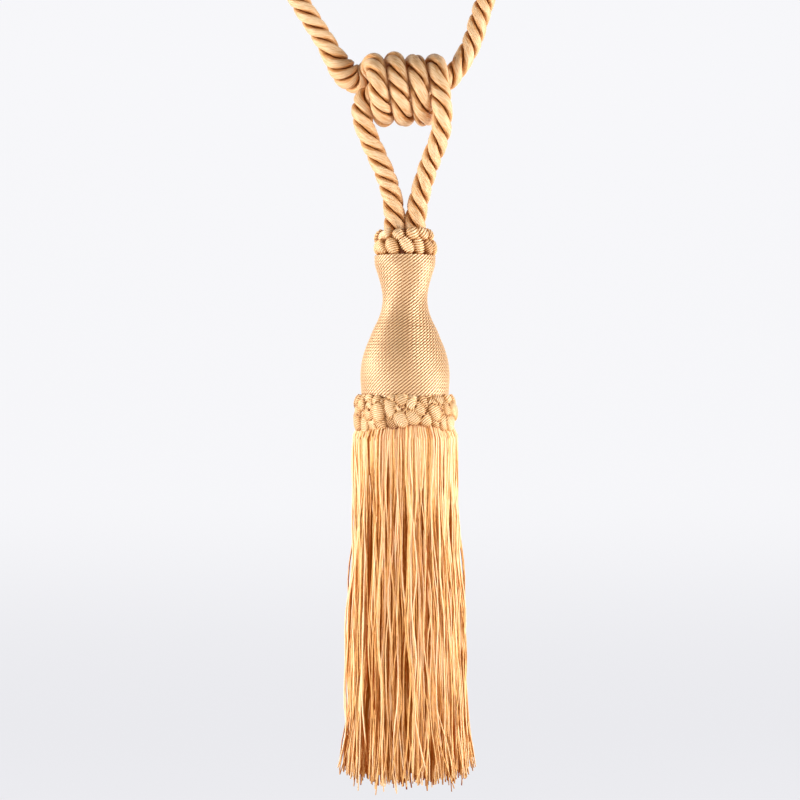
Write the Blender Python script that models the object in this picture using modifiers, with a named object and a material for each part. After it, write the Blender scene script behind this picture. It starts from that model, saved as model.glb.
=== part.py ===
"""Curtain tieback: a closed loop of twisted rope, drawn through a four-turn barrel knot, with its
two ends going down into the wound head of a tassel.

Metres, +Z up, the front faces -Y. The origin is the hanging point, inside the top of the loop.
"""

import math
import random

import bmesh
import bpy
import numpy as np

GAP = 0.0003  # between pieces that touch

# Rope: three strands laid together, left over right
ROPE_RADIUS = 0.0046  # over the crests of the strands
CREST_HALF_ANGLE = 0.43  # half the angle that a strand's blunt crest takes
GROOVE_SHARE = 0.64  # radius of the grooves between strands, as a share of ROPE_RADIUS
LAY = 0.024  # length of one full turn of a strand
STEPS_PER_LAY = 10
STRANDS = 3
SWELL_AT = (-0.0262, 0.0072, -0.2606)  # the strands open a little where the rope doubles back
SWELL_REACH = 0.0050
SWELL_SHARE = 0.16

# Barrel knot: turns about a level axis along X, down the front and up the back
KNOT_X = -0.0148  # where the first turn crosses the top
KNOT_Z = -0.2695
KNOT_DEPTH = 0.0116  # half the depth of the turns' centreline
KNOT_HEIGHT = 0.0125  # half its height
KNOT_PROUD = 0.0009  # the second turn's rise above the others at the top
KNOT_PITCH = 0.00955
KNOT_TURNS = 3 + 70 / 360
KNOT_STEP = math.radians(30)

# Tassel, all about the Z axis
HEAD_TOP = -0.3473
LEG_X = 0.0048  # the two rope legs stand side by side on the head
HEAD_STEPS = 36
HEAD_PROFILE = (  # drop below the head's top, radius
    (0.0000, 0.0141),
    (0.0042, 0.0139),
    (0.0089, 0.0125),
    (0.0136, 0.0112),
    (0.0193, 0.0103),
    (0.0254, 0.0109),
    (0.0301, 0.0125),
    (0.0348, 0.0148),
    (0.0395, 0.0167),
    (0.0442, 0.0186),
    (0.0498, 0.0201),
    (0.0559, 0.0207),
    (0.0630, 0.0204),
    (0.0665, 0.0202),
)
HEAD_BOTTOM = HEAD_TOP - HEAD_PROFILE[-1][0]

# Ruffs of knotted braid
TOP_RUFF_HEIGHT = 0.0112
RUFFS = (
    # name, z of the top, height, radius at the foot, at the top, bore (None: round the legs),
    # knots in a row, rows, points round a knot, points round the section
    ("top_ruff", HEAD_TOP + GAP + TOP_RUFF_HEIGHT, TOP_RUFF_HEIGHT, 0.0152, 0.0136, None,
     14, 2, 4, 10),
    ("lower_ruff", -0.4134, 0.0162, 0.0246, 0.0238, 0.0213, 25, 3, 3, 10),
)
RUFF_GAP_DEPTH = 0.0022  # how deep the gaps between the knots go
RUFF_SHOULDER = 0.75  # below 1 squares the section's shoulders

# Skirt: locks of cut fringe, hung in rings from a collar inside the lower ruff
COLLAR_RADIUS = 0.0209
COLLAR_TOP = HEAD_BOTTOM - GAP
COLLAR_DEPTH = 0.0136
COLLAR_SIDES = 48
ROOT_Z = -0.4262  # where the locks start, inside the collar
SKIRT_PROFILE = (  # height, radius of the outer ring's centreline, lowest first
    (-0.5960, 0.0290),
    (-0.5748, 0.0280),
    (-0.5513, 0.0268),
    (-0.5184, 0.0258),
    (-0.4900, 0.0240),
    (-0.4620, 0.0231),
    (-0.4340, 0.0226),
    (-0.4298, 0.0204),
    (-0.4262, 0.0196),
)
LOCK_RINGS = (  # distance in from the outer ring, locks, heights of the points between the ends
    (0.0000, 48, (-0.4298, -0.4340, -0.4740, -0.5140, -0.5540)),
    (0.0029, 40, (-0.4578, -0.5227)),
    (0.0058, 30, (-0.4578, -0.5227)),
    (0.0090, 22, (-0.4761,)),
    (0.0127, 13, (-0.4761,)),
    (0.0168, 5, (-0.4761,)),
)
LOCK_RADIUS = 0.0012
LOCK_ROOT_SHARE, LOCK_FOOT_SHARE, LOCK_END_SHARE = 0.8, 1.15, 0.5  # of LOCK_RADIUS
LOCK_SWAY = 0.035  # radians a lock's end wanders round the skirt
LOCK_LEAN = 0.0004  # how far it may lean in or out
SKIRT_END = -0.5925
SKIRT_UNEVEN = 0.0035  # how far a lock's end may lie from SKIRT_END
SKIRT_SWING = 0.0014  # the skirt's foot hangs a little to the right

# The rope's way, from the head up the left leg, along the knot's core and once round the loop
ROUTE_TO_KNOT = (
    (-0.0048, 0.0000, -0.3398),
    (-0.0048, 0.0000, -0.3313),
    (-0.0055, 0.0000, -0.3229),
    (-0.0079, -0.0010, -0.3131),
    (-0.0116, -0.0016, -0.3038),
    (-0.0157, -0.0022, -0.2950),
    (-0.0187, -0.0032, -0.2876),
    (-0.0201, -0.0036, -0.2806),
    (-0.0190, -0.0026, -0.2746),
    (-0.0148, -0.0008, -0.2708),
    (-0.0071, 0.0003, -0.2693),
    (0.0014, 0.0008, -0.2687),
    (0.0094, 0.0010, -0.2682),
    (0.0155, 0.0010, -0.2672),
    (0.0211, 0.0010, -0.2638),
    (0.0256, 0.0010, -0.2576),
    (0.0292, 0.0005, -0.2518),
    (0.0319, 0.0000, -0.2458),
    (0.0342, 0.0000, -0.2383),
    (0.0362, 0.0000, -0.2317),
    (0.0415, 0.0000, -0.2150),
    (0.0500, 0.0000, -0.1870),
    (0.0560, 0.0000, -0.1550),
    (0.0585, 0.0000, -0.1220),
    (0.0565, 0.0000, -0.0890),
    (0.0490, 0.0000, -0.0550),
    (0.0360, 0.0000, -0.0250),
    (0.0175, 0.0000, -0.0040),
    (-0.0040, 0.0000, 0.0046),
    (-0.0270, 0.0000, -0.0020),
    (-0.0490, 0.0000, -0.0220),
    (-0.0665, 0.0000, -0.0530),
    (-0.0770, 0.0000, -0.0870),
    (-0.0800, 0.0000, -0.1210),
    (-0.0765, 0.0000, -0.1550),
    (-0.0680, 0.0000, -0.1870),
    (-0.0575, 0.0000, -0.2130),
    (-0.0477, 0.0004, -0.2307),
    (-0.0426, 0.0012, -0.2385),
    (-0.0375, 0.0026, -0.2463),
    (-0.0327, 0.0046, -0.2539),
    (-0.0277, 0.0068, -0.2596),
    (-0.0233, 0.0080, -0.2619),
    (-0.0197, 0.0077, -0.2614),
    (-0.0172, 0.0063, -0.2596),
    (-0.0157, 0.0037, -0.2578),
)
# and from the knot's last turn down the right leg
ROUTE_FROM_KNOT = (
    (0.0171, -0.0126, -0.2792),
    (0.0173, -0.0112, -0.2850),
    (0.0162, -0.0086, -0.2921),
    (0.0136, -0.0060, -0.2992),
    (0.0108, -0.0038, -0.3064),
    (0.0082, -0.0018, -0.3146),
    (0.0061, -0.0003, -0.3229),
    (0.0048, 0.0000, -0.3313),
    (0.0048, 0.0000, -0.3398),
)


def collection(name):
    made = bpy.data.collections.new(name)
    bpy.context.scene.collection.children.link(made)
    return made


def material(name, color, roughness):
    made = bpy.data.materials.new(name)
    made.use_nodes = True
    shader = made.node_tree.nodes["Principled BSDF"]
    shader.inputs["Base Color"].default_value = (*color, 1.0)
    shader.inputs["Roughness"].default_value = roughness
    shader.inputs["Metallic"].default_value = 0.0
    return made


def add_object(name, data, where, finish=None):
    made = bpy.data.objects.new(name, data)
    where.objects.link(made)
    if finish:
        data.materials.append(finish)
    return made


def poly_spline(curve, points, radii=None, tilts=None, closed=False):
    spline = curve.splines.new("POLY")
    spline.points.add(len(points) - 1)
    for i, (point, at) in enumerate(zip(spline.points, points)):
        point.co = (*at, 1.0)
        point.radius = radii[i] if radii else 1.0
        point.tilt = tilts[i] if tilts else 0.0
    spline.use_cyclic_u = closed
    return spline


def knot_turns():
    """The barrel's turns: an oval helix that starts at the top and goes down the front."""
    points = []
    for i in range(int(KNOT_TURNS * 2 * math.pi / KNOT_STEP) + 1):
        a = i * KNOT_STEP
        height = KNOT_HEIGHT + KNOT_PROUD * math.exp(-((a - 2 * math.pi) ** 2))
        x = KNOT_X + KNOT_PITCH * a / (2 * math.pi)
        points.append((x, -KNOT_DEPTH * math.sin(a), KNOT_Z + height * math.cos(a)))
    return points


def smooth_path(points, step):
    """A centripetal Catmull-Rom curve through the points, read off at even steps of length."""
    p = np.array(points)
    p = np.vstack([2 * p[0] - p[1], p, 2 * p[-1] - p[-2]])
    t = np.r_[0, np.cumsum(np.sqrt(np.linalg.norm(np.diff(p, axis=0), axis=1)))]
    fine = []
    for i in range(1, len(p) - 2):
        t0, t1, t2, t3 = t[i - 1 : i + 3]
        u = np.linspace(t1, t2, 16, endpoint=False)[:, None]
        a1 = ((t1 - u) * p[i - 1] + (u - t0) * p[i]) / (t1 - t0)
        a2 = ((t2 - u) * p[i] + (u - t1) * p[i + 1]) / (t2 - t1)
        a3 = ((t3 - u) * p[i + 1] + (u - t2) * p[i + 2]) / (t3 - t2)
        b1 = ((t2 - u) * a1 + (u - t0) * a2) / (t2 - t0)
        b2 = ((t3 - u) * a2 + (u - t1) * a3) / (t3 - t1)
        fine.append(((t2 - u) * b1 + (u - t1) * b2) / (t2 - t1))
    fine = np.vstack([*fine, p[-2][None]])
    run = np.r_[0, np.cumsum(np.linalg.norm(np.diff(fine, axis=0), axis=1))]
    at = np.linspace(0, run[-1], round(run[-1] / step) + 1)
    return np.stack([np.interp(at, run, fine[:, k]) for k in range(3)], axis=1)


def as_guide(made):
    made.hide_render = True
    made.display_type = "WIRE"
    return made


def rope_section(guides):
    """Three blunt lobes, one to a strand."""
    section = bpy.data.curves.new("rope_section", "CURVE")
    section.dimensions = "2D"
    crest = CREST_HALF_ANGLE
    corners = []
    for strand in range(STRANDS):
        middle = -2 * math.pi * strand / STRANDS
        for turn, share in ((crest, 1.0), (-crest, 1.0), (-math.pi / STRANDS, GROOVE_SHARE)):
            r = ROPE_RADIUS * share
            corners.append((r * math.cos(middle + turn), r * math.sin(middle + turn), 0.0))
    poly_spline(section, corners, closed=True)
    return as_guide(add_object("rope_section", section, guides))


def rope(parts, guides, finish):
    """The rope: its lobed section swept along its way, turning once each lay."""
    curve = bpy.data.curves.new("rope", "CURVE")
    curve.dimensions = "3D"
    curve.twist_mode = "MINIMUM"
    curve.bevel_mode = "OBJECT"
    curve.bevel_object = rope_section(guides)
    curve.use_fill_caps = True
    end = HEAD_TOP + GAP
    way = [(-LEG_X, 0.0, end), *ROUTE_TO_KNOT, *knot_turns(), *ROUTE_FROM_KNOT, (LEG_X, 0.0, end)]
    points = smooth_path(way, LAY / STEPS_PER_LAY)
    middle = len(points) / 2
    tilts = [(middle - i) * 2 * math.pi / STEPS_PER_LAY for i in range(len(points))]
    away = np.linalg.norm(points - np.array(SWELL_AT), axis=1) / SWELL_REACH
    radii = 1.0 + SWELL_SHARE * np.exp(-(away**2))
    poly_spline(curve, points, radii=list(radii), tilts=tilts)
    return add_object("rope", curve, parts, finish)


def head(parts, finish):
    """The wound head: a turned pear on a narrow neck."""
    outline = [(0.0, 0.0), *[(r, -drop) for drop, r in HEAD_PROFILE], (0.0, -HEAD_PROFILE[-1][0])]
    mesh = bpy.data.meshes.new("head")
    edges = [(i, i + 1) for i in range(len(outline) - 1)]
    mesh.from_pydata([(r, 0.0, z) for r, z in outline], edges, [])
    made = add_object("head", mesh, parts, finish)
    made.location.z = HEAD_TOP
    screw = made.modifiers.new("turned", "SCREW")
    screw.steps = screw.render_steps = HEAD_STEPS
    screw.use_merge_vertices = True
    screw.merge_threshold = 0.00001
    return made


def leg_bore(angle):
    """How far the two legs, side by side, reach from the Z axis in a direction, with a gap."""
    c, s = abs(math.cos(angle)), abs(math.sin(angle))
    r = ROPE_RADIUS + GAP
    if s * LEG_X <= r * c:
        return LEG_X * c + math.sqrt(max(0.0, r * r - (LEG_X * s) ** 2))
    return r / s


def knot_swell(angle, row, knots):
    """From 0 in the gaps between a ruff's knots to 1 on them; alternate rows are staggered."""
    low = math.floor(row)
    swell = 0.0
    for k, share in ((low, low + 1 - row), (low + 1, row - low)):
        phase = knots * angle + math.pi * (k % 2) + 0.6 * math.sin(3 * angle + k)
        swell += share * math.sqrt(abs(math.cos(phase / 2)))
    return swell


def ruff(parts, finish, name, top, height, foot, head_end, bore, knots, rows, around, across):
    """A band of knotted braid: a ring with a square-shouldered section, swollen in staggered
    rows of knots on its outer side."""
    bpy.ops.mesh.primitive_torus_add(
        major_segments=around * knots, minor_segments=across, major_radius=1.0, minor_radius=0.5
    )
    made = bpy.context.object
    made.name = made.data.name = name
    for owner in list(made.users_collection):
        owner.objects.unlink(made)
    parts.objects.link(made)
    made.data.materials.append(finish)
    for vertex in made.data.vertices:
        x, y, z = vertex.co
        angle = math.atan2(y, x)
        out, up = 2 * (math.hypot(x, y) - 1.0), 2 * z
        out = math.copysign(abs(out) ** RUFF_SHOULDER, out)
        up = math.copysign(abs(up) ** RUFF_SHOULDER, up)
        hollow = RUFF_GAP_DEPTH * (1 - knot_swell(angle, (1 - up) / 2 * (rows - 1), knots))
        inner = bore or leg_bore(angle)
        outer = foot + (head_end - foot) * (1 + up) / 2 - hollow * max(0.0, out)
        r = (inner + outer) / 2 + (outer - inner) / 2 * out
        vertex.co = (r * math.cos(angle), r * math.sin(angle), (height / 2 - hollow / 2) * up)
    made.location.z = top - height / 2
    return made


def locks():
    """Each lock as its points and its widths, from its root in the collar to its tapered end."""
    chance = random.Random(11)
    levels, radii = zip(*SKIRT_PROFILE)
    for ring, (inset, count, heights) in enumerate(LOCK_RINGS):
        for i in range(count):
            angle = 2 * math.pi * (i + 0.5 * (ring % 2)) / count
            end = SKIRT_END + SKIRT_UNEVEN * chance.uniform(-1, 1)
            lean = LOCK_LEAN * chance.uniform(-1, 1)
            points, widths = [], []
            for z in (ROOT_Z, *heights, end):
                fall = (ROOT_Z - z) / (ROOT_Z - SKIRT_END)
                r = (np.interp(z, levels, radii) - inset) * (1 - 0.3 * inset / COLLAR_RADIUS)
                r += lean * fall
                a = angle + LOCK_SWAY * fall * math.sin(3 * angle + 1.0 + 2.2 * fall)
                swing = SKIRT_SWING * fall**2
                points.append((r * math.cos(a) + swing, r * math.sin(a), z))
                widths.append(1.0 + (LOCK_FOOT_SHARE - 1.0) * fall)
            widths[0], widths[-1] = LOCK_ROOT_SHARE, LOCK_END_SHARE
            yield points, widths


def lock_bodies(parts, guides):
    """All the locks as one mesh object of four-sided tapered bodies."""
    curve = bpy.data.curves.new("locks_drawn", "CURVE")
    curve.dimensions = "3D"
    curve.bevel_depth = LOCK_RADIUS
    curve.bevel_resolution = 0
    curve.use_fill_caps = True
    for points, widths in locks():
        poly_spline(curve, points, radii=widths)
    drawn = add_object("locks_drawn", curve, parts)
    bpy.context.view_layer.update()
    evaluated = drawn.evaluated_get(bpy.context.evaluated_depsgraph_get())
    mesh = bpy.data.meshes.new_from_object(evaluated)
    shape = bmesh.new()
    shape.from_mesh(mesh)
    bmesh.ops.remove_doubles(shape, verts=shape.verts, dist=0.00001)
    bmesh.ops.recalc_face_normals(shape, faces=shape.faces)
    shape.to_mesh(mesh)
    shape.free()
    made = as_guide(add_object("locks", mesh, guides))
    made.matrix_world = drawn.matrix_world
    bpy.data.objects.remove(drawn)
    return made


def skirt(parts, guides, finish):
    """The fringe: a union fuses the roots of the locks into the collar."""
    shape = bmesh.new()
    bmesh.ops.create_cone(
        shape,
        cap_ends=True,
        segments=COLLAR_SIDES,
        radius1=COLLAR_RADIUS,
        radius2=COLLAR_RADIUS,
        depth=COLLAR_DEPTH,
    )
    mesh = bpy.data.meshes.new("skirt")
    shape.to_mesh(mesh)
    shape.free()
    made = add_object("skirt", mesh, parts, finish)
    made.location.z = COLLAR_TOP - COLLAR_DEPTH / 2
    union = made.modifiers.new("fused_roots", "BOOLEAN")
    union.operation = "UNION"
    union.object = lock_bodies(parts, guides)
    union.solver = "EXACT"
    return made


def main():
    for old in list(bpy.data.objects):
        bpy.data.objects.remove(old)
    parts = collection("tassel_tieback")
    guides = collection("guides")
    rope(parts, guides, material("rope_satin", (0.72, 0.48, 0.25), 0.45))
    head(parts, material("head_cord", (0.80, 0.60, 0.36), 0.50))
    braid = material("braid_satin", (0.80, 0.58, 0.33), 0.45)
    for row in RUFFS:
        ruff(parts, braid, *row)
    skirt(parts, guides, material("fringe_yarn", (0.78, 0.50, 0.24), 0.50))
    for made in parts.objects:
        if made.type == "MESH":
            made.data.shade_smooth()
            made.data.set_sharp_from_angle(angle=math.radians(40))


main()
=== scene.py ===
"""A curtain tieback tassel on its loop of twisted rope, hanging, with its studio."""

import math

import bpy
import numpy as np
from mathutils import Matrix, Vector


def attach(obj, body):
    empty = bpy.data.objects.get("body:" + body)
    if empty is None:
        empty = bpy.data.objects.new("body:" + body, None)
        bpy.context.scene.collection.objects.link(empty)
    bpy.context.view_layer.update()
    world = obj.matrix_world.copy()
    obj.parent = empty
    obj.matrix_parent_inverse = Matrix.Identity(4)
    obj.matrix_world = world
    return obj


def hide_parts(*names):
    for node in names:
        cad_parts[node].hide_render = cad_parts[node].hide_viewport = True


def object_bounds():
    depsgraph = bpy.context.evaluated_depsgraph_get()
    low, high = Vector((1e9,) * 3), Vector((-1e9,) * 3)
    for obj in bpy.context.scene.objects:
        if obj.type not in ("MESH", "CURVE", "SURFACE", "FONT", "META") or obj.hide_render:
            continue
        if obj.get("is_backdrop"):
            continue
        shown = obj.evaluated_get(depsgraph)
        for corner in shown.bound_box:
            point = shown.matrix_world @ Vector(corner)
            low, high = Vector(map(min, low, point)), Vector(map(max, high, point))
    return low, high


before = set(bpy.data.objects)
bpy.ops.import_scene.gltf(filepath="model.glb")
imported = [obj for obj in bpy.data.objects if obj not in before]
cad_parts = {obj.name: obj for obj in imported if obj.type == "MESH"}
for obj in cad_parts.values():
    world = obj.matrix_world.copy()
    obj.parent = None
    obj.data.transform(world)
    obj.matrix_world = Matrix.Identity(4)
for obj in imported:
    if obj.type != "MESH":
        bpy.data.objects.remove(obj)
cad_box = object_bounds()

# Camera: level with the middle of the knot and tassel, square on to them, with a long lens.
camera_data = bpy.data.cameras.new("camera")
camera_data.lens = 86.2
camera_data.sensor_width = 36.0
camera = bpy.data.objects.new("camera", camera_data)
camera.location = (-0.00235, -0.9, -0.415)
camera.rotation_euler = (math.radians(90), 0, 0)
bpy.context.scene.collection.objects.link(camera)
bpy.context.scene.camera = camera
bpy.context.scene.view_settings.view_transform = "Standard"

# ---------------------------------------------------------------------------------------------
# Rope. One length of satin rope, three strands of rayon laid left over right round each other.
# It comes up out of the head, is drawn through its own barrel knot, makes the loop that goes
# over the hook, wraps the knot in four turns and goes back down into the head.

ROPE_RADIUS = 0.00475
LAY = 0.024
LEG_ENDS = ((-0.0048, 0.0, -0.3468), (0.0048, 0.0, -0.3468))
WAY_TO_KNOT = (
    (-0.0048, 0.0000, -0.3398), (-0.0048, 0.0000, -0.3313), (-0.0055, 0.0000, -0.3229),
    (-0.0079, -0.0010, -0.3131), (-0.0116, -0.0016, -0.3038), (-0.0157, -0.0022, -0.2950),
    (-0.0187, -0.0032, -0.2876), (-0.0201, -0.0036, -0.2806), (-0.0190, -0.0026, -0.2746),
    (-0.0148, -0.0008, -0.2708), (-0.0071, 0.0003, -0.2693), (0.0014, 0.0008, -0.2687),
    (0.0094, 0.0010, -0.2682), (0.0155, 0.0010, -0.2672), (0.0211, 0.0010, -0.2638),
    (0.0256, 0.0010, -0.2576), (0.0292, 0.0005, -0.2518), (0.0319, 0.0000, -0.2458),
    (0.0342, 0.0000, -0.2383), (0.0362, 0.0000, -0.2317), (0.0415, 0.0000, -0.2150),
    (0.0500, 0.0000, -0.1870), (0.0560, 0.0000, -0.1550), (0.0585, 0.0000, -0.1220),
    (0.0565, 0.0000, -0.0890), (0.0490, 0.0000, -0.0550), (0.0360, 0.0000, -0.0250),
    (0.0175, 0.0000, -0.0040), (-0.0040, 0.0000, 0.0046), (-0.0270, 0.0000, -0.0020),
    (-0.0490, 0.0000, -0.0220), (-0.0665, 0.0000, -0.0530), (-0.0770, 0.0000, -0.0870),
    (-0.0800, 0.0000, -0.1210), (-0.0765, 0.0000, -0.1550), (-0.0680, 0.0000, -0.1870),
    (-0.0575, 0.0000, -0.2130), (-0.0477, 0.0004, -0.2307), (-0.0426, 0.0012, -0.2385),
    (-0.0375, 0.0026, -0.2463), (-0.0327, 0.0046, -0.2539), (-0.0277, 0.0068, -0.2596),
    (-0.0233, 0.0080, -0.2619), (-0.0197, 0.0077, -0.2614), (-0.0172, 0.0063, -0.2596),
    (-0.0157, 0.0037, -0.2578),
)
WAY_FROM_KNOT = (
    (0.0171, -0.0126, -0.2792), (0.0173, -0.0112, -0.2850), (0.0162, -0.0086, -0.2921),
    (0.0136, -0.0060, -0.2992), (0.0108, -0.0038, -0.3064), (0.0082, -0.0018, -0.3146),
    (0.0061, -0.0003, -0.3229), (0.0048, 0.0000, -0.3313), (0.0048, 0.0000, -0.3398),
)
KNOT_X, KNOT_Z = -0.0148, -0.2695
KNOT_DEPTH, KNOT_HEIGHT, KNOT_PROUD = 0.0116, 0.0125, 0.0009
KNOT_PITCH = 0.00955
KNOT_TURNS = 3 + 70 / 360


def knot_turns():
    """The barrel's turns as an oval helix: from the top, down the front and up the back, with
    the second turn standing a little prouder than the others."""
    a = np.arange(int(KNOT_TURNS * 12) + 1) * math.tau / 12
    height = KNOT_HEIGHT + KNOT_PROUD * np.exp(-((a - math.tau) ** 2))
    x = KNOT_X + KNOT_PITCH * a / math.tau
    return np.stack([x, -KNOT_DEPTH * np.sin(a), KNOT_Z + height * np.cos(a)], axis=1)


def smooth_path(points, step):
    """A centripetal Catmull-Rom curve through the points, read off at even steps of length:
    each span is the blend of blends of its four nearest points."""
    p = np.asarray(points, float)
    p = np.vstack([2 * p[0] - p[1], p, 2 * p[-1] - p[-2]])
    t = np.r_[0, np.cumsum(np.sqrt(np.linalg.norm(np.diff(p, axis=0), axis=1)))]
    fine = []
    for i in range(1, len(p) - 2):
        t0, t1, t2, t3 = t[i - 1 : i + 3]
        u = np.linspace(t1, t2, 16, endpoint=False)[:, None]
        a1 = ((t1 - u) * p[i - 1] + (u - t0) * p[i]) / (t1 - t0)
        a2 = ((t2 - u) * p[i] + (u - t1) * p[i + 1]) / (t2 - t1)
        a3 = ((t3 - u) * p[i + 1] + (u - t2) * p[i + 2]) / (t3 - t2)
        b1 = ((t2 - u) * a1 + (u - t0) * a2) / (t2 - t0)
        b2 = ((t3 - u) * a2 + (u - t1) * a3) / (t3 - t1)
        fine.append(((t2 - u) * b1 + (u - t1) * b2) / (t2 - t1))
    fine = np.vstack([*fine, p[-2][None]])
    run = np.r_[0, np.cumsum(np.linalg.norm(np.diff(fine, axis=0), axis=1))]
    at = np.linspace(0, run[-1], round(run[-1] / step) + 1)
    return np.stack([np.interp(at, run, fine[:, k]) for k in range(3)], axis=1)


def carried_frames(path):
    """Two directions across a path at each of its points, carried along it without turning:
    the first one is stripped of the new tangent at every step."""
    tangent = np.gradient(path, axis=0)
    tangent /= np.linalg.norm(tangent, axis=1)[:, None]
    across = np.empty_like(path)
    side = np.array([0.0, -1.0, 0.0])
    for i, t in enumerate(tangent):
        side = side - t * side.dot(t)
        side /= np.linalg.norm(side)
        across[i] = side
    return across, np.cross(tangent, across)


def skin(name, rings, **values):
    """One mesh of closed bodies from an array of rings (bodies, rings, points round, 3): quads
    between neighbouring rings, and a fan round the middle of each end ring. The values are
    arrays of the same (bodies, rings, points round) shape, kept as point attributes."""
    bodies, along, around, _ = rings.shape
    grid = np.arange(bodies * along * around).reshape(bodies, along, around)
    turned = np.roll(grid, -1, axis=2)
    quads = np.stack([grid[:, :-1], turned[:, :-1], turned[:, 1:], grid[:, 1:]], axis=-1)
    first = grid.size + 2 * np.arange(bodies)[:, None]
    head_fan = np.stack([turned[:, 0], grid[:, 0], first + 0 * grid[:, 0]], axis=-1)
    foot_fan = np.stack([grid[:, -1], turned[:, -1], first + 1 + 0 * grid[:, 0]], axis=-1)
    ends = np.stack([rings[:, 0].mean(axis=1), rings[:, -1].mean(axis=1)], axis=1)
    faces = quads.reshape(-1, 4).tolist()
    faces += head_fan.reshape(-1, 3).tolist() + foot_fan.reshape(-1, 3).tolist()
    mesh = bpy.data.meshes.new(name)
    mesh.from_pydata(np.vstack([rings.reshape(-1, 3), ends.reshape(-1, 3)]), [], faces)
    for key, value in values.items():
        vector = value.ndim == 4
        width = (3,) if vector else ()
        value = np.broadcast_to(value, (bodies, along, around, *width))
        tips = np.stack([value[:, 0].mean(axis=1), value[:, -1].mean(axis=1)], axis=1)
        whole = np.concatenate([value.reshape(-1, *width), tips.reshape(-1, *width)])
        kind, field = ("FLOAT_VECTOR", "vector") if vector else ("FLOAT", "value")
        kept = mesh.attributes.new(key, kind, "POINT")
        kept.data.foreach_set(field, whole.astype(np.float32).ravel())
    mesh.shade_smooth()
    made = bpy.data.objects.new(name, mesh)
    bpy.context.scene.collection.objects.link(made)
    return made


class Wire:
    """A socket in a material's node tree; arithmetic on it adds the Math nodes."""

    def __init__(self, tree, socket):
        self.tree, self.socket = tree, socket

    def math(self, operation, *values):
        return self.node("ShaderNodeMath", {"operation": operation}, *values)

    def node(self, kind, settings, *values, out=0, **named):
        made = self.tree.nodes.new(kind)
        for key, value in settings.items():
            setattr(made, key, value)
        for key, value in [*enumerate(values), *named.items()]:
            socket = made.inputs[key.replace("_", " ") if isinstance(key, str) else key]
            if isinstance(value, Wire):
                self.tree.links.new(value.socket, socket)
            else:
                socket.default_value = value
        return Wire(self.tree, made.outputs[out])

    def __add__(self, other):
        return self.math("ADD", self, other)

    def __sub__(self, other):
        return self.math("SUBTRACT", self, other)

    def __mul__(self, other):
        return self.math("MULTIPLY", self, other)

    def __rsub__(self, other):
        return self.math("SUBTRACT", other, self)

    __radd__, __rmul__ = __add__, __mul__


def dye(wire, share, low, high):
    """A colour between two, by a share from 0 to 1."""
    mix = wire.tree.nodes.new("ShaderNodeMix")
    mix.data_type = "RGBA"
    wire.tree.links.new(share.socket, mix.inputs[0])
    for socket, colour in ((mix.inputs[6], low), (mix.inputs[7], high)):
        if isinstance(colour, Wire):
            wire.tree.links.new(colour.socket, socket)
        else:
            socket.default_value = (*colour, 1.0)
    return Wire(wire.tree, mix.outputs[2])


def thread_material(name, painted_shade_colour, pale, streaks, mottle, relief, gloss, painted_glow):
    """Satin thread. Its colour is partly painted shade and light: it goes from a dark colour,
    painted down between threads where shade falls, by way of pale's square to pale, painted
    as lit on their crests, and differs a little from thread to thread. Noise drawn out along
    the thread, by the two scales in streaks, gives the fibres' mottled streaks and their relief.
    A trace of orange glow is painted light, standing for the light that comes through the
    threads."""
    made = bpy.data.materials.new(name)
    made.use_nodes = True
    tree = made.node_tree
    shader = tree.nodes["Principled BSDF"]
    start = Wire(tree, None)
    laid = start.node("ShaderNodeAttribute", {"attribute_name": "laid"}, out=1)
    crest = start.node("ShaderNodeAttribute", {"attribute_name": "crest"}, out=2)
    tone = start.node("ShaderNodeAttribute", {"attribute_name": "tone"}, out=2)
    across, along = streaks
    drawn = start.node("ShaderNodeMapping", {}, Vector=laid, Scale=(across, across, along))
    fibres = start.node("ShaderNodeTexNoise", {}, Vector=drawn, Scale=1.0, Detail=4.0)
    # Painted shade and light: the share runs from painted shade in the grooves to painted light
    # on the crests, plus fibre mottle and random tone.
    share = crest * 0.8 + (fibres - 0.5) * mottle + tone * 0.25
    middle = dye(start, share * 2, painted_shade_colour, [0.85 * value * value for value in pale])
    colour = dye(start, share * 2 - 1, middle, pale)
    bump = start.node("ShaderNodeBump", {}, Strength=1.0, Distance=relief, Height=fibres)
    tree.links.new(colour.socket, shader.inputs["Base Color"])
    tree.links.new(bump.socket, shader.inputs["Normal"])
    shader.inputs["Roughness"].default_value = 0.45
    shader.inputs["Specular IOR Level"].default_value = gloss
    shader.inputs["Metallic"].default_value = 0.4 * gloss
    # Painted light: an orange glow on the threads that lifts their shadows, standing for light
    # that comes through them.
    shader.inputs["Emission Color"].default_value = (1.0, 0.27, 0.02, 1.0)
    shader.inputs["Emission Strength"].default_value = painted_glow
    return made


way = [LEG_ENDS[0], *WAY_TO_KNOT, *knot_turns(), *WAY_FROM_KNOT, LEG_ENDS[1]]
rope_path = smooth_path(way, 0.001)
rope_run = np.r_[0, np.cumsum(np.linalg.norm(np.diff(rope_path, axis=0), axis=1))]


def near(path, place, reach):
    """A bump of height 1 at a place, falling to nothing within about two reaches of it."""
    return np.exp(-((np.linalg.norm(path - place, axis=1) / reach) ** 2))


GROOVE_DEPTH = 0.62
LAY_WAVES = ((0.22, 0.037), (0.15, 0.0173))
BUNCH, BUNCH_REACH = (-0.0255, 0.0065, -0.2615), 0.0115
BUNCH_LAY, BUNCH_SINK = 0.6, 0.0011
WOUND_FROM, WOUND_TO, WOUND_LAY = 0.845, 1.01, 0.38
SWELLINGS = (
    (BUNCH, BUNCH_REACH, 0.46), ((-0.0197, -0.0034, -0.2790), 0.006, 0.06),
    ((0, 0, -0.3340), 0.014, 0.10),
)


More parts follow.
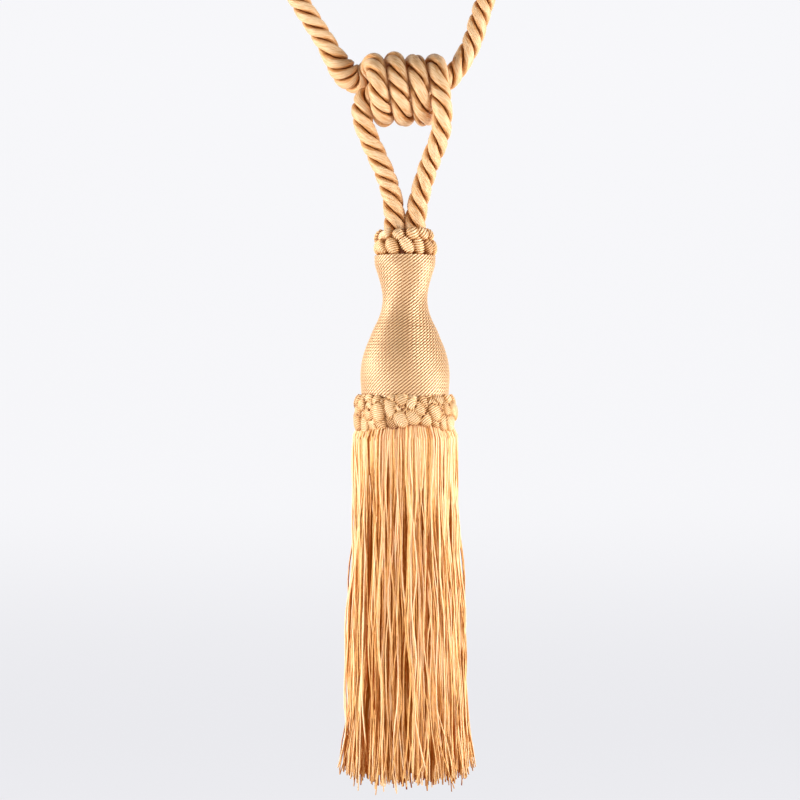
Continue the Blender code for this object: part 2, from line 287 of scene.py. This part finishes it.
def rope_rings(path, run):
    """Round each point of the path a section of three lobes, one to a strand: the radius falls
    off from each lobe's middle with the fifth power of the share of the way to the groove. The
    section turns once each lay, give or take two slow waves. The lay is longer in the knot's
    turns, and shorter in the bunch where the left arm is crushed against the knot. There the
    section is fuller and hangs a little, and it also swells in the left leg's top and where the
    legs meet in the upper ruff."""
    across, up = carried_frames(path)
    w = (np.arange(18) + 0.5) / 9 - 1
    share = w * (1.45 - 0.45 * w * w)
    turn = (np.arange(3)[:, None] * 2 / 3 + share / 3).ravel() * math.pi
    fall = np.tile(np.abs(share) ** 5, 3)
    crushed = near(path, BUNCH, BUNCH_REACH)
    wound = np.clip((run - WOUND_FROM) / 0.02, 0, 1) * np.clip((WOUND_TO - run) / 0.02, 0, 1)
    rate = (1 + BUNCH_LAY * crushed) * (1 - WOUND_LAY * wound)
    phase = np.r_[0, np.cumsum(rate[1:] * np.diff(run))] * math.tau / LAY
    for swing, length in LAY_WAVES:
        phase = phase + swing * np.sin(math.tau * run / length)
    plump = np.ones(len(path))
    for place, reach, gain in SWELLINGS:
        plump = plump + gain * near(path, place, reach)
    radius = ROPE_RADIUS * plump[:, None] * (1 - GROOVE_DEPTH * fall)
    angle = turn - phase[:, None]
    c, s = np.cos(angle)[..., None], np.sin(angle)[..., None]
    sunk = path - BUNCH_SINK * crushed[:, None] * (0, 0, 1)
    rings = sunk[:, None] + radius[..., None] * (c * across[:, None] + s * up[:, None])
    laid = np.stack(
        [radius * np.cos(turn), radius * np.sin(turn), run[:, None] + 0 * radius], axis=-1
    )
    # Painted shade: the colour darkens from each strand's middle towards the grooves between
    # strands.
    crest = 1.1 - np.tile(0.25 * share**2 + 1.1 * np.abs(share) ** 5, 3)
    return rings[None], laid[None], crest[None, None] + 0 * radius[None]


rings, laid, crest = rope_rings(rope_path, rope_run)
rope = skin("rope_strands", rings, laid=laid, crest=crest, tone=0 * crest)
rope.data.materials.append(
    thread_material(
        "rope_rayon", painted_shade_colour=(0.14, 0.018, 0.002), pale=(0.86, 0.59, 0.34), streaks=(1600, 420),
        mottle=1.5, relief=0.0003, gloss=0.2, painted_glow=0.02,
    )
)
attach(rope, "root")
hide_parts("rope")

# ---------------------------------------------------------------------------------------------
# Head. A turned wooden pear, wound from the top down with fine two-ply cord, each turn against
# the last. The slanted plies line up from turn to turn into ribs.

HEAD_TOP = -0.3473
HEAD_PROFILE = (
    (0.0000, 0.0141), (0.0042, 0.0139), (0.0089, 0.0125), (0.0136, 0.0112), (0.0193, 0.0103),
    (0.0254, 0.0109), (0.0301, 0.0125), (0.0348, 0.0148), (0.0395, 0.0167), (0.0442, 0.0186),
    (0.0498, 0.0201), (0.0559, 0.0207), (0.0630, 0.0204), (0.0665, 0.0202),
)
CORD_PITCH = 0.00158
PLY_PITCH = 0.0023
PLY_TIGHTENING = 0.02
RIB_HEIGHT, RIB_BED = 0.0005, 0.0002
HEAD_COLUMNS = 480
ROWS_A_TURN = 6


def head_rings(first, last, outline, normals):
    """Rings down a stretch of the outline, six to a turn of cord. A ring stands off the outline
    by the cord's round back, the root of 1 - c squared across the turn, times the plies' humps:
    a cosine's size, whose phase runs round the turn and on down the slant of the plies. The plies
    lie a little closer where the head is wider, and a whole number of them goes round a turn."""
    row = np.arange(first * ROWS_A_TURN, last * ROWS_A_TURN + 1)
    turn = np.minimum(row // ROWS_A_TURN, last - 1)
    c = 2 * (row / ROWS_A_TURN - turn) - 1
    u = np.arange(HEAD_COLUMNS) * math.tau / HEAD_COLUMNS
    around = outline[turn * ROWS_A_TURN + ROWS_A_TURN // 2, 0]
    plies = np.round(math.tau * around / (PLY_PITCH - PLY_TIGHTENING * around))
    phase = plies[:, None] * (u + math.pi / 2) / math.tau + (turn + c / 2)[:, None]
    hump = np.abs(np.cos(math.pi * phase))
    back = 0.7 + 0.3 * np.sqrt(np.clip(1 - c * c, 0, 1))[:, None]
    off = RIB_HEIGHT * back * (0.2 + 0.8 * hump) - RIB_BED
    r = outline[row, 0][:, None] + off * normals[row, 0][:, None]
    z = outline[row, 2][:, None] + off * normals[row, 2][:, None]
    rings = np.stack([r * np.cos(u), r * np.sin(u), z], axis=-1)
    # Painted shade: darker in the valleys between the plies' humps and towards the edges of each
    # turn of cord.
    crest = back * (1.3 * hump - 0.15)
    run = u * outline[row, 0][:, None]
    laid = np.stack([z, z * 0 + c[:, None] * CORD_PITCH, run], axis=-1)
    return rings[None, :, ::-1], laid[None, :, ::-1], crest[None, :, ::-1]


profile = smooth_path([(r, 0, HEAD_TOP - drop) for drop, r in HEAD_PROFILE], 0.0001)
profile_run = np.r_[0, np.cumsum(np.linalg.norm(np.diff(profile, axis=0), axis=1))]
turns = round(profile_run[-1] / CORD_PITCH)
at = np.linspace(0, profile_run[-1], turns * ROWS_A_TURN + 1)
outline = np.stack([np.interp(at, profile_run, profile[:, k]) for k in range(3)], axis=1)
slope = np.gradient(outline, axis=0)
slope /= np.linalg.norm(slope, axis=1)[:, None]
normals = np.stack([-slope[:, 2], 0 * slope[:, 1], slope[:, 0]], axis=1)
head_finish = thread_material(
    "wound_cord", painted_shade_colour=(0.13, 0.02, 0.002), pale=(0.90, 0.67, 0.42), streaks=(900, 900),
    mottle=0.25, relief=0.00003, gloss=0.9, painted_glow=0.03,
)
for name, first, last in (("head_neck", 0, turns // 2), ("head_belly", turns // 2, turns)):
    rings, laid, crest = head_rings(first, last, outline, normals)
    part = skin(name, rings, laid=laid, crest=crest, tone=0 * crest)
    part.data.materials.append(head_finish)
    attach(part, "root")
    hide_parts("head")

# ---------------------------------------------------------------------------------------------
# Ruffs. Bands of braid sewn round the head's top and foot: thick lobes of satin thread, each a
# bundle wound with finer thread, laid over one another in staggered rows on a band that is
# coloured all in painted shade.


def lobes(count, level, size, lean, pitch, rng, lift=0.0, spread=0.0, sag=0.0):
    """One row of lobes as columns: angle, level, half width, half length, lean, lift, thread
    pitch, curve of the threads, and tone. The row rises and sags three times round."""
    angle = (np.arange(count) + spread) * math.tau / count + rng.normal(0, 0.035, count)
    return np.stack([
        angle,
        level + sag * np.cos(3 * angle + 3.7) + rng.normal(0, 0.0006, count),
        size[0] * (1 + rng.normal(0, 0.08, count)),
        size[1] * (1 + rng.normal(0, 0.08, count)),
        np.radians(lean) + rng.normal(0, 0.2, count),
        lift + rng.normal(0, 0.0006, count),
        pitch * (1 + rng.normal(0, 0.08, count)),
        rng.normal(70, 60, count),
        rng.normal(0, 0.5, count),
    ])


LOBE_POWER = 2.1
NOTCH = 0.14
THREAD_RELIEF = 0.42
SEAM_WIDTH, SEAM_SINK = 0.00026, 0.0008


def ruff(name, node, outline, depth, floor, columns, rows):
    """A ruff as a ring of sections. Each lobe rises from the outline as a blunt oval, depth times
    the root of 1 - |x/w|^p - |y/l|^p in its own leaning axes; the highest lobe shows. Threads
    cross its long axis as ridges and notch its sides. A seam sinks, by an exponential, where two
    lobes are near the same height, deeper in patches where two slanted waves add up to more than
    nothing. Where there is no lobe the face drops to the floor."""
    face = smooth_path([(r, 0, z) for r, z in outline], 0.00018)
    run = np.r_[0, np.cumsum(np.linalg.norm(np.diff(face, axis=0), axis=1))]
    slope = np.gradient(face, axis=0)
    slope /= np.linalg.norm(slope, axis=1)[:, None]
    u = np.linspace(0, math.tau, columns + 1)
    columns_of = np.hstack(rows)[:, :, None, None]
    angle, level, wide, tall, lean, lift, pitch, curve, shade = columns_of
    middle = np.interp(-level, -face[:, 2], run)
    dx = ((u[:, None] - angle + math.pi) % math.tau - math.pi) * face[:, 0]
    ds = middle - run
    x, y = dx * np.cos(lean) - ds * np.sin(lean), dx * np.sin(lean) + ds * np.cos(lean)
    turns = y / pitch + curve * x * x / pitch
    notched = wide * (1 + NOTCH * np.cos(math.tau * turns))
    inside = 1 - np.abs(x / notched) ** LOBE_POWER - np.abs(y / tall) ** LOBE_POWER
    rise = np.where(inside > 0, lift + depth * np.sqrt(np.clip(inside, 0, 1)), -floor)
    top = rise.argmax(axis=0)[None]

    def shown(values):
        return np.take_along_axis(np.broadcast_to(values, rise.shape), top, axis=0)[0]

    ridge = np.abs(np.cos(math.pi * shown(turns)))
    edge = np.clip(shown(inside), 0, 1)
    seam = np.exp(-(shown(rise) - np.partition(rise, -2, axis=0)[-2]) / SEAM_WIDTH)
    patch = np.sin(61 * u[:, None] + 1900 * run) + np.sin(43 * u[:, None] - 1500 * run)
    seam = seam * (0.4 + 0.9 * np.clip(patch, 0, 1))
    thread = THREAD_RELIEF * shown(pitch) * (ridge - 0.6)
    off = shown(rise) + np.where(edge > 0, thread - SEAM_SINK * seam, 0)
    r = face[:, 0] - off * slope[:, 2]
    z = face[:, 2] + off * slope[:, 0]
    back = np.linspace(face[-1, 2], face[0, 2], 7)[None] + 0 * u[:, None]
    r = np.hstack([r, 0 * back + face[:, 0].min() - floor - 0.0006])
    z = np.hstack([z, back])
    # Painted shade: darker towards each lobe's edges, between its thread ridges and along seams,
    # more in patches; the band behind and between the lobes is all painted shade.
    crest = np.hstack([1.2 * edge**0.3 * (0.15 + 0.85 * ridge) * (1 - 1.1 * seam), 0 * back])
    tone = np.hstack([np.where(edge > 0, shown(shade), 0), 0 * back])
    rings = np.stack([r * np.cos(u)[:, None], r * np.sin(u)[:, None], z], axis=-1)[None, :, ::-1]
    made = skin(name, rings, laid=rings, crest=crest[None, :, ::-1], tone=tone[None, :, ::-1])
    made.data.materials.append(braid_finish)
    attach(made, "root")
    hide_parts(node)


rng = np.random.default_rng(5)
braid_finish = thread_material(
    "braid_thread", painted_shade_colour=(0.14, 0.018, 0.002), pale=(0.92, 0.69, 0.43), streaks=(900, 900),
    mottle=0.6, relief=0.00008, gloss=0.5, painted_glow=0.04,
)
ruff(
    "top_ruff_braid", "top_ruff",
    ((0.0078, -0.3352), (0.0098, -0.3358), (0.0112, -0.3378), (0.0119, -0.3405),
     (0.0121, -0.3440), (0.0121, -0.3471)),
    depth=0.0024, floor=0.0022, columns=600, rows=(
        lobes(12, -0.3432, (0.0028, 0.0047), -42, 0.0011, rng),
        lobes(12, -0.3380, (0.0026, 0.0030), -30, 0.0010, rng, lift=0.0002, spread=0.5),
    ),
)
ruff(
    "lower_ruff_braid", "lower_ruff",
    ((0.0203, -0.4132), (0.0214, -0.4150), (0.0222, -0.4180), (0.0225, -0.4225),
     (0.0222, -0.4296)),
    depth=0.0013, floor=0.0018, columns=900, rows=(
        lobes(31, -0.4154, (0.0027, 0.0034), -20, 0.0009, rng),
        lobes(28, -0.4196, (0.0033, 0.0046), -35, 0.0009, rng, lift=0.0003, spread=0.5),
        lobes(27, -0.4245, (0.0033, 0.0042), -30, 0.0009, rng, lift=0.0001, sag=0.0014),
        lobes(29, -0.4172, (0.0027, 0.0036), -45, 0.0009, rng, spread=0.3),
    ),
)

# ---------------------------------------------------------------------------------------------
# Skirt. A hank of cut rayon yarns, some hundreds of them, sewn into a collar inside the lower
# ruff. They hang in loose clumps, crimped and crossing, and splay a little at their cut ends.

SKIRT_LEVELS = (-0.4240, -0.4275, -0.4320, -0.4620, -0.4900, -0.5184, -0.5513, -0.5748, -0.5960)
SKIRT_RADII = (0.0200, 0.0222, 0.0237, 0.0231, 0.0238, 0.0254, 0.0265, 0.0273, 0.0281)
SKIRT_END = -0.5895
SKIRT_WIDE, SKIRT_MEAN = 0.026, 0.024
SIDE_LIFT = 0.002
CLUMP_ENDS, OWN_ENDS = 0.0016, 0.0022
CLUMP_PULL, CLUMP_DEPTH, OWN_DEPTH = 0.55, 0.0006, 0.00035
CRIMP_OUT = ((0.0005, 1.7), (0.0003, 3.9))
CRIMP_ROUND = ((0.0005, 2.2), (0.0002, 4.4))
SPLAY_OUT, SPLAY_ROUND = 0.0010, 0.05
SKIRT_SWING = 0.0014


def yarns(count, inset, radius, along, clumps, wild, rng):
    """Yarns spread round the skirt. Each follows the skirt's outline less its inset, is drawn
    towards its clump's middle, and wanders round and in and out by waves whose phases it mostly
    shares with its clump. It ends a little higher at the two sides and the further in it hangs.
    Near its end it splays by its own amount, growing with the square of the way into the last
    third, and the whole skirt swings aside with the square of the way down. Its section is a
    square on edge. Its colour holds painted shade, darker behind than in front, the further in
    the yarn hangs and the further down, and painted light just under the ruff."""
    t = np.linspace(0, 1, along)[None, :]

    def own(spread):
        return rng.normal(0, spread, count)[:, None]

    home = (np.arange(count) + rng.uniform(-0.5, 0.5, count))[:, None] * math.tau / count
    centres = np.sort(rng.uniform(0, math.tau, clumps))
    which = np.abs((home - centres + math.pi) % math.tau - math.pi).argmin(axis=1)
    pull = (centres[which][:, None] - home + math.pi) % math.tau - math.pi
    keen = CLUMP_PULL * np.sin(math.pi / 2 * np.clip((t - 0.12) * 2.4, 0, 1)) * (1 - 0.4 * t**6)
    shared = rng.uniform(0, math.tau, (clumps, 4))[which] + rng.normal(0, 0.8, (count, 4))

    def waves(sizes, first):
        phases = (shared[:, first + k][:, None] for k in range(len(sizes)))
        return sum(a * np.sin(math.tau * f * t + p) for (a, f), p in zip(sizes, phases))

    end = SKIRT_END + 0.7 * inset + SIDE_LIFT * np.cos(home) ** 4
    end = end + rng.normal(0, CLUMP_ENDS, clumps)[which][:, None] + own(OWN_ENDS)
    z = SKIRT_LEVELS[0] + (end - SKIRT_LEVELS[0]) * t
    grow = np.clip(t * 4, 0, 1)
    splay = np.clip((t - 0.7) / 0.3, 0, 1) ** 2
    full = np.interp(z, SKIRT_LEVELS[::-1], SKIRT_RADII[::-1])
    r = full * (1 - inset / SKIRT_WIDE * np.clip(0.2 + t * 4, 0, 1))
    depth = rng.normal(0, CLUMP_DEPTH, clumps)[which][:, None] * np.clip(t * 2.5, 0, 1)
    r = r + depth * wild + own(OWN_DEPTH) * wild
    r = r + waves(CRIMP_OUT, 0) * grow * wild + own(SPLAY_OUT) * splay * wild**2
    angle = home + pull * keen + own(0.016) * t * wild + own(SPLAY_ROUND) * splay * wild**2
    angle = angle + waves(CRIMP_ROUND, 2) * grow * wild / SKIRT_MEAN
    swing = SKIRT_SWING * t**2
    path = np.stack([r * np.cos(angle) + swing, r * np.sin(angle), z], axis=-1)
    u = np.arange(4)[None, None] * math.pi / 2 + rng.normal(0, 0.3, count)[:, None, None]
    thick = radius * (1 + own(0.12)) * (1 - 0.25 * t**8)
    round_way = np.stack([-np.sin(angle), np.cos(angle), 0 * angle], axis=-1)[:, :, None]
    outward = np.stack([np.cos(angle), np.sin(angle), 0 * angle], axis=-1)[:, :, None]
    spoke = np.cos(u)[..., None] * round_way + np.sin(u)[..., None] * outward
    rings = path[:, :, None] + thick[..., None, None] * spoke
    laid = np.stack([np.cos(u), np.sin(u), 0 * u], axis=-1) * radius + 0 * rings
    laid = laid + np.stack([0 * z, 0 * z, z], axis=-1)[:, :, None]
    laid = laid + rng.uniform(0, 1, (count, 1, 1, 1)) * (1, 1, 0)
    tone = (own(1.0) + rng.normal(0, 0.4, clumps)[which][:, None])[..., None] + 0 * rings[..., 0]
    # Painted shade: darker the deeper the yarn lies below the skirt's outline, on its back and
    # further down; painted light just under the ruff.
    crest = np.clip(1.1 - (full - r) / 0.0017, 0, 1.1)[..., None] * (0.5 + 0.5 * np.sin(u))
    crest = crest - 0.12 * (t - 0.5)[..., None] + 0.3 * np.exp(-t / 0.08)[..., None]
    return rings, laid, crest, tone


rng = np.random.default_rng(8)
fringe_finish = thread_material(
    "fringe_rayon", painted_shade_colour=(0.20, 0.026, 0.002), pale=(1.00, 0.74, 0.44), streaks=(1300, 400),
    mottle=0.7, relief=0.0001, gloss=0.05, painted_glow=0.105,
)
for name, count, inset, radius, along, clumps, wild in (
    ("fringe_loose", 120, -0.0004, 0.00038, 23, 96, 1.7),
    ("fringe_outer", 290, 0.0004, 0.00040, 19, 64, 1.1),
    ("fringe_under", 360, 0.0016, 0.00042, 17, 60, 1.1),
    ("fringe_middle", 380, 0.0034, 0.00052, 13, 50, 1.0),
    ("fringe_inner", 260, 0.0056, 0.0008, 9, 40, 0.8),
    ("fringe_heart", 90, 0.0110, 0.0018, 5, 20, 0.3),
):
    rings, laid, crest, tone = yarns(count, inset, radius, along, clumps, wild, rng)
    layer = skin(name, rings, laid=laid, crest=crest, tone=tone)
    layer.data.materials.append(fringe_finish)
    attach(layer, "root")
    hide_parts("skirt")

# ---------------------------------------------------------------------------------------------
# Studio: a sheet of pale paper that runs from the floor up behind the tassel, and large soft
# lights on both sides and in front. From behind, the paper is clear. The room is pale where the
# camera looks into it, and dim as a light, so that the satin keeps its shadows.


def paper_sheet():
    """The paper's profile, floor, quarter round and wall, drawn out sideways."""
    bend = np.linspace(0, math.pi / 2, 24)
    y = np.r_[-1.6, 0.5 + 0.6 * np.sin(bend), 1.1]
    z = np.r_[-0.66, -0.66 + 0.6 * (1 - np.cos(bend)), 1.8]
    x = np.array([-2.2, 2.2])
    grid = np.stack(np.broadcast_arrays(x[None], y[:, None], z[:, None]), axis=-1)
    mesh = bpy.data.meshes.new("paper")
    low = 2 * np.arange(len(y) - 1)
    faces = np.stack([low, low + 1, low + 3, low + 2], axis=1)
    mesh.from_pydata(grid.reshape(-1, 3), [], faces.tolist())
    mesh.shade_smooth()
    made = bpy.data.objects.new("paper", mesh)
    bpy.context.scene.collection.objects.link(made)
    return made


paper = paper_sheet()
paper_finish = bpy.data.materials.new("paper_white")
paper_finish.use_nodes = True
paper_tree = Wire(paper_finish.node_tree, None)
paper_shader = paper_finish.node_tree.nodes["Principled BSDF"]
paper_place = paper_tree.node("ShaderNodeTexCoord", {}, out=3)
paper_height = paper_tree.node("ShaderNodeSeparateXYZ", {}, Vector=paper_place, out=2)
# Painted shade: the paper's glow is darker towards the floor.
floor_shade_share = paper_tree.node(
    "ShaderNodeMapRange", {"interpolation_type": "SMOOTHSTEP"}, paper_height, -0.66, -0.5
)
paper_glow_floor_shade = dye(paper_tree, floor_shade_share, (0.825, 0.825, 0.86), (0.93, 0.93, 0.956))
paper_finish.node_tree.links.new(paper_glow_floor_shade.socket, paper_shader.inputs["Emission Color"])
paper_front = 1 - paper_tree.node("ShaderNodeNewGeometry", {}, out=6)
paper_finish.node_tree.links.new(paper_front.socket, paper_shader.inputs["Alpha"])
paper_shader.inputs["Emission Strength"].default_value = 0.93
paper_shader.inputs["Base Color"].default_value = (0.08, 0.08, 0.08, 1.0)
paper_shader.inputs["Roughness"].default_value = 0.9
paper_shader.inputs["Specular IOR Level"].default_value = 0.0
paper.data.materials.append(paper_finish)
paper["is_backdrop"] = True

room = bpy.data.worlds.new("room")
bpy.context.scene.world = room
room.use_nodes = True
room_air = room.node_tree.nodes["Background"]
room_air.inputs["Color"].default_value = (1.0, 1.0, 1.0, 1.0)
room_seen = Wire(room.node_tree, None).node("ShaderNodeLightPath", {})
room.node_tree.links.new((room_seen * 0.75 + 0.1).socket, room_air.inputs["Strength"])

for name, place, size, power in (
    ("left_box", (-0.75, -0.25, -0.48), 0.6, 10.5),
    ("right_box", (0.75, -0.25, -0.48), 0.6, 12.0),
    ("front_box", (-0.3, -1.5, 0.1), 0.6, 3.4),
):
    light = bpy.data.lights.new(name, "AREA")
    light.size = size
    light.energy = power
    lamp = bpy.data.objects.new(name, light)
    lamp.location = place
    aim = np.array((0.0, 0.0, -0.46)) - np.array(place)
    yaw = math.atan2(aim[1], aim[0]) - math.pi / 2
    pitch = math.atan2(aim[2], math.hypot(aim[0], aim[1])) + math.pi / 2
    lamp.rotation_euler = (pitch, 0, yaw)
    bpy.context.scene.collection.objects.link(lamp)

size = {"cad": [list(corner) for corner in cad_box]}
size["visual"] = [list(corner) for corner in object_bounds()]
